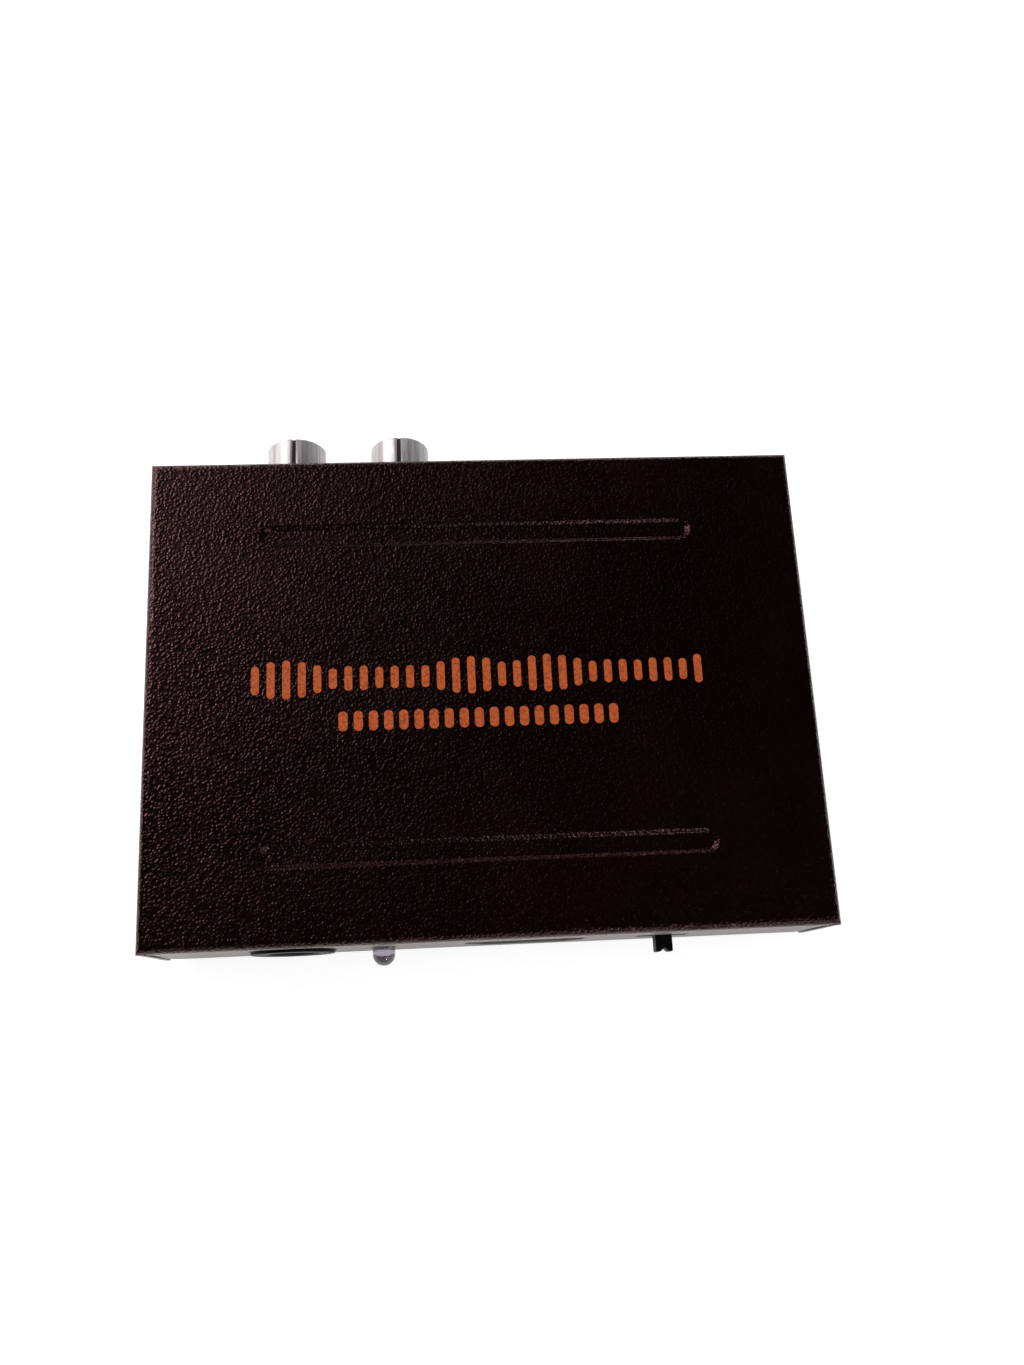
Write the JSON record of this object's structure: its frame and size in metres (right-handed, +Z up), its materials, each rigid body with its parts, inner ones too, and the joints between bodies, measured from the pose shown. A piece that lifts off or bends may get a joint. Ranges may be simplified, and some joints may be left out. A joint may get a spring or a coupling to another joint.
{
  "type": "hdmi audio extractor",
  "caption": "Small folded-steel box that splits sound out of a digital video line, with barrel, optical and video sockets, a power socket, a lamp and a slide switch.",
  "frame": {"origin": "on the ground, under the middle of the box round the whole object", "axes": "+X right along the case's width, +Y to the rear with the sound sockets, +Z up; the lamp and switch face -Y"},
  "size_m": [0.09, 0.0746, 0.0186],
  "materials": {
    "black_powder_coat": "fine textured powder coat",
    "pale_face_plate": "satin, pale grey",
    "blackened_steel": "black oxide",
    "foot_rubber": "matte",
    "board_laminate": "green solder mask",
    "nickel": "bright nickel plate",
    "tinned_steel": "tinned",
    "black_moulding": "moulded, satin",
    "brass_contact": "plated",
    "clear_lamp": "water-clear epoxy",
    "white_insert": "moulded",
    "red_insert": "moulded",
    "light_source": "dark red, clear",
    "brown_laminate": "pressed paper laminate",
    "chip_epoxy": "moulded",
    "can_aluminium": "drawn",
    "ceramic": "fired ceramic"
  },
  "bodies": {
    "extractor": {"top_cover": "black_powder_coat", "base_tray": "black_powder_coat", "front_plate": "pale_face_plate", "rear_plate": "pale_face_plate", "case_screws": "blackened_steel", "rubber_feet": "foot_rubber", "circuit_board": "board_laminate", "board_standoffs": "nickel", "board_screws": "nickel", "dc_jack_body": "black_moulding", "dc_centre_pin": "brass_contact", "dc_spring_contact": "brass_contact", "dc_jack_pins": "tinned_steel", "power_led": "clear_lamp", "led_holder": "black_moulding", "led_wires": "tinned_steel", "video_in_shell": "tinned_steel", "video_in_insulator": "black_moulding", "video_in_contacts": "brass_contact", "video_out_shell": "tinned_steel", "video_out_insulator": "black_moulding", "video_out_contacts": "brass_contact", "rca_housing": "black_moulding", "rca_left_barrel": "nickel", "rca_right_barrel": "nickel", "rca_left_insert": "white_insert", "rca_right_insert": "red_insert", "rca_left_contact": "brass_contact", "rca_right_contact": "brass_contact", "rca_pins": "tinned_steel", "optical_housing": "black_moulding", "shutter_hinge_pin": "nickel", "shutter_spring": "tinned_steel", "optical_emitter": "light_source", "optical_pins": "tinned_steel", "switch_frame": "tinned_steel", "switch_plate": "brown_laminate", "switch_pins": "tinned_steel", "video_chip": "chip_epoxy", "video_chip_legs": "tinned_steel", "sound_chips": "chip_epoxy", "sound_chip_legs": "tinned_steel", "round_capacitors": "can_aluminium", "capacitor_feet": "chip_epoxy", "crystal": "can_aluminium", "coil_block": "chip_epoxy", "chip_capacitors": "ceramic", "chip_resistors": "chip_epoxy"},
    "slider": {"switch_slider": "black_moulding", "switch_wiper": "brass_contact"},
    "shutter": {"optical_shutter": "black_moulding"}
  },
  "joints": [
    {"name": "switch_slide", "type": "slide", "parent": "extractor", "child": "slider", "axis": [1, 0, 0], "range_m": [-0.002, 0.002]},
    {"name": "shutter_hinge", "type": "hinge", "parent": "extractor", "child": "shutter", "pos_m": [0.00599, 0.02978, 0.01457], "axis": [-1, 0, 0], "range_deg": [0, 85], "stiffness_Nm_per_rad": 0.0001, "springref_deg": -17.19}
  ]
}
